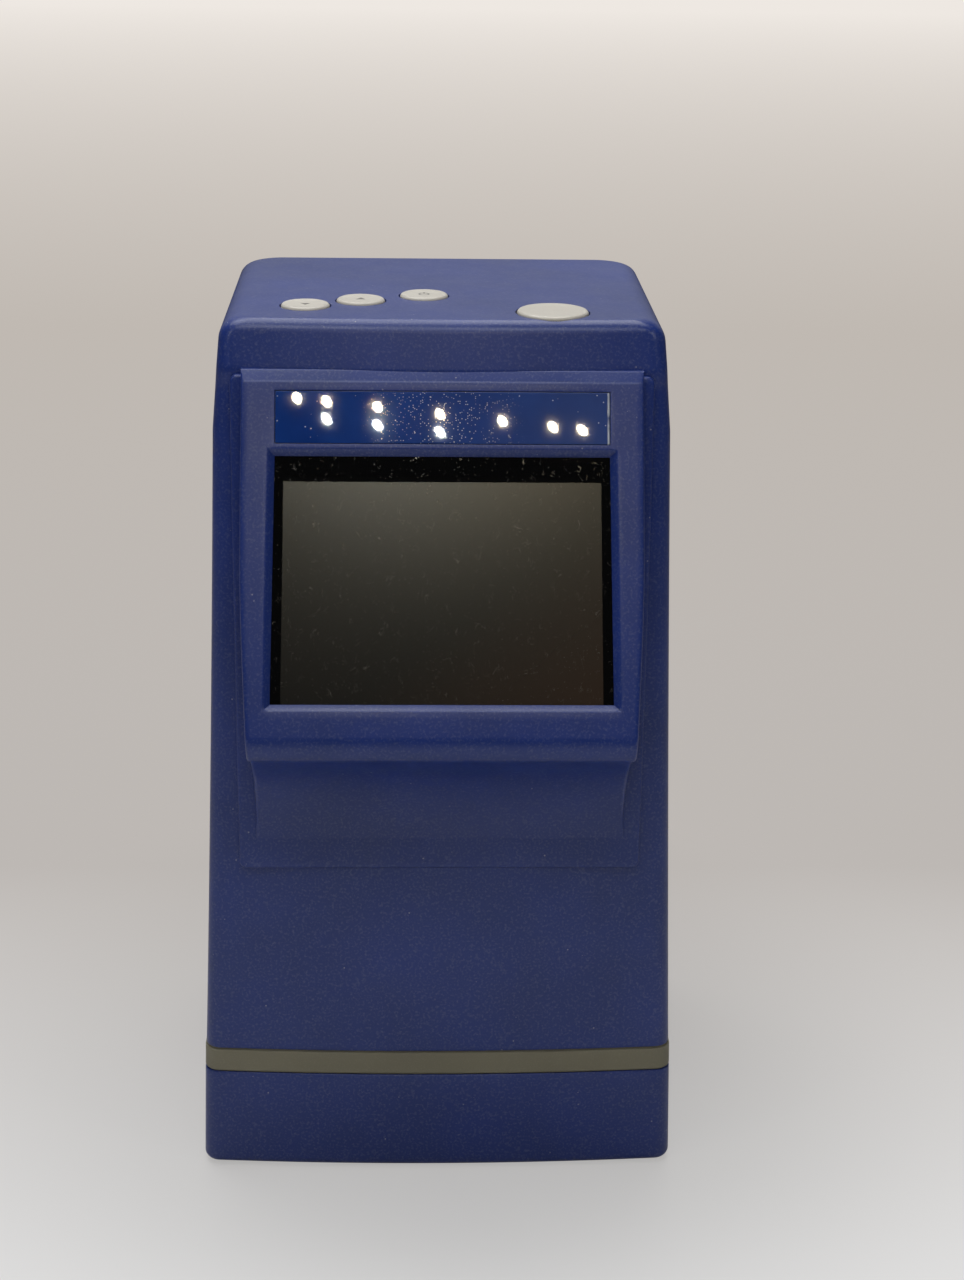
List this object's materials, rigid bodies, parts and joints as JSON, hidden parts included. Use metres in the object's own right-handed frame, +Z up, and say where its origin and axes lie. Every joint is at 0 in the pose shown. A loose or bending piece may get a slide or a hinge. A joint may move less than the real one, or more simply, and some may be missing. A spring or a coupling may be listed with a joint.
{
  "type": "film negative scanner",
  "caption": "Upright film scanner: tilted screen under a hood at the front, round keys on top, slot for a film tray through both sides, sockets in the back.",
  "frame": {"origin": "on the ground under the middle of the whole object's box", "axes": "screen faces -Y, +X is to the right of someone who looks at the screen, +Z is up"},
  "size_m": [0.0872, 0.0904, 0.1585],
  "materials": {
    "body_blue": "dark blue moulded ABS, satin",
    "band_grey": "olive grey moulded ABS, fine texture",
    "strip_gloss": "deep blue polished acrylic",
    "window_clear": "clear acrylic pane with a dark printed border",
    "display_grey": "unlit colour display",
    "steel": "zinc plated and stamped steel",
    "flex_amber": "amber film ribbon",
    "key_white": "off-white moulded key caps",
    "plunger_black": "moulded nylon",
    "switch_grey": "switch housings",
    "board_green": "green soldermask on glass board",
    "wire": "insulated flat wire",
    "chip_black": "moulded packages",
    "inner_black": "black matt moulded ABS",
    "barrel_black": "black anodised",
    "lens_glass": "coated lens glass",
    "diffuser_white": "opal and white plastic",
    "led_board_white": "white soldermask board",
    "led_yellow": "phosphor packages",
    "foot_rubber": "moulded rubber"
  },
  "bodies": {
    "scanner": {"base_shell": "body_blue", "trim_band": "band_grey", "tower_shell": "body_blue", "rear_cover": "body_blue", "screen_bezel": "body_blue", "gloss_strip": "strip_gloss", "screen_window": "window_clear", "lcd_panel": "display_grey", "lcd_frame": "steel", "lcd_flex": "flex_amber", "switch_bodies": "switch_grey", "key_board": "board_green", "key_cable": "wire", "main_board": "board_green", "main_chips": "chip_black", "sd_socket": "steel", "usb_socket": "steel", "av_jack": "inner_black", "sensor_board": "board_green", "image_sensor": "chip_black", "lens_holder": "inner_black", "lens_barrel": "barrel_black", "lens_elements": "lens_glass", "sensor_cable": "wire", "light_tunnel": "inner_black", "film_gate": "inner_black", "film_track": "inner_black", "track_spring": "steel", "diffuser": "diffuser_white", "light_box": "diffuser_white", "led_board": "led_board_white", "leds": "led_yellow", "led_cable": "wire", "rubber_feet": "foot_rubber", "case_screws": "steel", "rear_screws": "steel", "bezel_screws": "steel", "gate_screws": "steel", "tunnel_screws": "steel", "board_screws": "steel", "key_screws": "steel", "led_screws": "steel", "lcd_screws": "steel", "sensor_screws": "steel"},
    "left_key": {"left_button": "key_white", "left_plunger": "plunger_black"},
    "right_key": {"right_button": "key_white", "right_plunger": "plunger_black"},
    "power_key": {"power_button": "key_white", "power_plunger": "plunger_black"},
    "ok_key": {"ok_button": "key_white", "ok_plunger": "plunger_black"}
  },
  "joints": [
    {"name": "left_press", "type": "slide", "parent": "scanner", "child": "left_key", "axis": [0, 0, -1], "range_m": [0, 0.0004], "stiffness_N_per_m": 1500},
    {"name": "right_press", "type": "slide", "parent": "scanner", "child": "right_key", "axis": [0, 0, -1], "range_m": [0, 0.0004], "stiffness_N_per_m": 1500},
    {"name": "power_press", "type": "slide", "parent": "scanner", "child": "power_key", "axis": [0, 0, -1], "range_m": [0, 0.0004], "stiffness_N_per_m": 1500},
    {"name": "ok_press", "type": "slide", "parent": "scanner", "child": "ok_key", "axis": [0, 0, -1], "range_m": [0, 0.0004], "stiffness_N_per_m": 1500}
  ]
}
